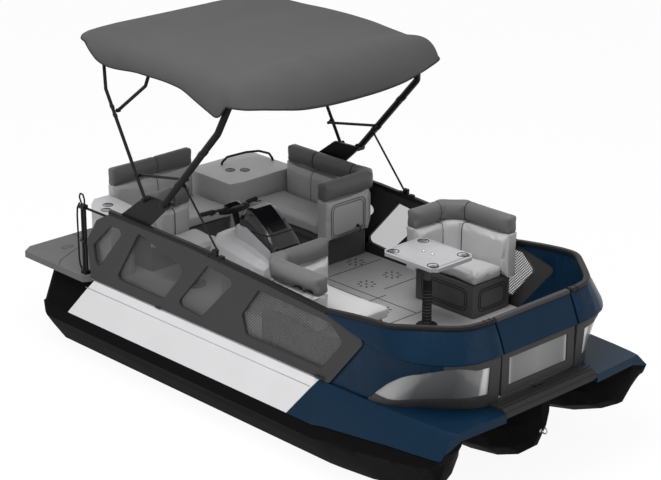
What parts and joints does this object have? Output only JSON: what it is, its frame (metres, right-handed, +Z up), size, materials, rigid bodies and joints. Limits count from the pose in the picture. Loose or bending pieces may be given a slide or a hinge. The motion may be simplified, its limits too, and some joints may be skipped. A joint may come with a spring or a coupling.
{
  "type": "pontoon boat",
  "caption": "Tri-hull pontoon boat with a flat fenced deck, lounge seats, helm console, bow gate, folding canopy tower, swim platform and jet drive.",
  "frame": {"origin": "on the floor, under the middle of the boat's overall box", "axes": "+X to the bow, +Y to port, +Z up"},
  "size_m": [5.42, 2.5, 3.06],
  "materials": {
    "base_grey": "satin",
    "beam_grey": "mill",
    "blade_metal": "polished",
    "canopy_cloth": "woven awning cloth",
    "console_light": "satin",
    "deck_grey": "fine pebble texture",
    "engine_metal": "plain",
    "fence_grey": "satin powder coat",
    "frame_black": "satin powder coat",
    "gloss_black": "high gloss",
    "hull_black": "satin moulded polyethylene",
    "pane_smoke": "smoked",
    "pump_metal": "cast",
    "seat_light": "soft grained vinyl",
    "side_blue": "gloss",
    "side_white": "gloss"
  },
  "bodies": {
    "boat": {"aft_bench_back": "seat_light", "aft_bench_cushion": "seat_light", "bow_fairing_port": "side_blue", "bow_fairing_starboard": "side_blue", "bow_frame_port": "fence_grey", "bow_frame_starboard": "fence_grey", "bow_panel_port": "side_blue", "bow_panel_starboard": "side_blue", "bow_step": "deck_grey", "bow_windows": "pane_smoke", "console_body": "console_light", "console_cowl": "console_light", "corner_table_port": "base_grey", "corner_table_starboard": "base_grey", "deck_floor": "deck_grey", "deck_frame": "beam_grey", "engine_block": "engine_metal", "fence_panel_port": "fence_grey", "fence_panel_starboard": "fence_grey", "fence_panes": "pane_smoke", "gate_posts": "frame_black", "helm_seat_back": "seat_light", "helm_seat_cushion": "seat_light", "helm_seat_pedestal": "base_grey", "hull_center": "hull_black", "jet_pump": "pump_metal", "port_bow_lounge_back": "seat_light", "port_bow_lounge_cushion": "seat_light", "port_lounge_back": "seat_light", "port_lounge_cushion": "seat_light", "rail_port": "frame_black", "rail_starboard": "frame_black", "ride_plate": "pump_metal", "seat_bases": "base_grey", "side_panel_port": "side_white", "side_panel_starboard": "side_white", "sponson_port": "hull_black", "sponson_starboard": "hull_black", "starboard_bow_seat_back": "seat_light", "starboard_bow_seat_cushion": "seat_light", "stern_rail": "frame_black", "swim_platform": "deck_grey", "table_leg": "base_grey", "table_top": "base_grey", "tow_post": "frame_black", "tower_plates": "frame_black"},
    "gate": {"gate_panel": "side_blue", "gate_frame": "fence_grey", "gate_inset": "pane_smoke"},
    "handlebar": {"handlebar": "frame_black"},
    "nozzle": {"jet_nozzle": "pump_metal"},
    "bucket": {"reverse_bucket": "pump_metal"},
    "impeller": {"impeller": "blade_metal"},
    "lid": {"console_lid": "gloss_black"},
    "main_bow": {"tower_legs": "frame_black", "canopy": "canopy_cloth"},
    "rear_bow": {"tower_stays": "frame_black"},
    "middle_bow": {"tower_bow": "frame_black"},
    "struts": {"tower_struts": "frame_black"},
    "braces": {"tower_braces": "frame_black"}
  },
  "joints": [
    {"name": "gate_swing", "type": "hinge", "parent": "boat", "child": "gate", "pos_m": [2.41312, 0.443, 1.1], "axis": [0, 0, 1], "range_deg": [-90, 0]},
    {"name": "steering", "type": "hinge", "parent": "boat", "child": "handlebar", "pos_m": [-0.47813, -0.46005, 1.441], "axis": [-0.3401, 0, 0.9404], "range_deg": [-25, 25]},
    {"name": "nozzle_steer", "type": "hinge", "parent": "boat", "child": "nozzle", "pos_m": [-2.31596, 0, 0.23], "axis": [0, 0, 1], "range_deg": [-20, 20]},
    {"name": "bucket_drop", "type": "hinge", "parent": "nozzle", "child": "bucket", "pos_m": [-2.37446, 0, 0.23], "axis": [0, 1, 0], "range_deg": [-80, 0]},
    {"name": "impeller_spin", "type": "hinge", "parent": "boat", "child": "impeller", "pos_m": [-2.15, 0, 0.23], "axis": [1, 0, 0], "continuous": true},
    {"name": "lid_lift", "type": "hinge", "parent": "boat", "child": "lid", "pos_m": [0.15907, -0.46005, 1.3481], "axis": [0, 1, 0], "range_deg": [0, 70]},
    {"name": "canopy_fold", "type": "hinge", "parent": "boat", "child": "main_bow", "pos_m": [-0.62872, 0, 1.76055], "axis": [0, 1, 0], "range_deg": [-106, 0], "deforming": ["canopy"]},
    {"name": "rear_bow_fold", "type": "hinge", "parent": "boat", "child": "rear_bow", "pos_m": [-0.88075, 0, 1.73344], "axis": [0, 1, 0], "range_deg": [-47, 0]},
    {"name": "middle_bow_fold", "type": "hinge", "parent": "rear_bow", "child": "middle_bow", "pos_m": [-1.2737, 0, 2.43173], "axis": [0, 1, 0], "range_deg": [-64, 0]},
    {"name": "strut_fold", "type": "hinge", "parent": "main_bow", "child": "struts", "pos_m": [-0.41463, 0, 1.96615], "axis": [0, 1, 0], "range_deg": [-91, 0]},
    {"name": "brace_fold", "type": "hinge", "parent": "rear_bow", "child": "braces", "pos_m": [-0.98644, 0, 1.92101], "axis": [0, 1, 0], "range_deg": [-103, 0]}
  ],
  "couplings": [
    {"joint": "nozzle_steer", "follows": "steering", "ratio": -0.8},
    {"joint": "rear_bow_fold", "follows": "canopy_fold", "ratio": 0.44},
    {"joint": "middle_bow_fold", "follows": "canopy_fold", "ratio": 0.6},
    {"joint": "strut_fold", "follows": "canopy_fold", "ratio": 0.856},
    {"joint": "brace_fold", "follows": "canopy_fold", "ratio": 0.965}
  ]
}
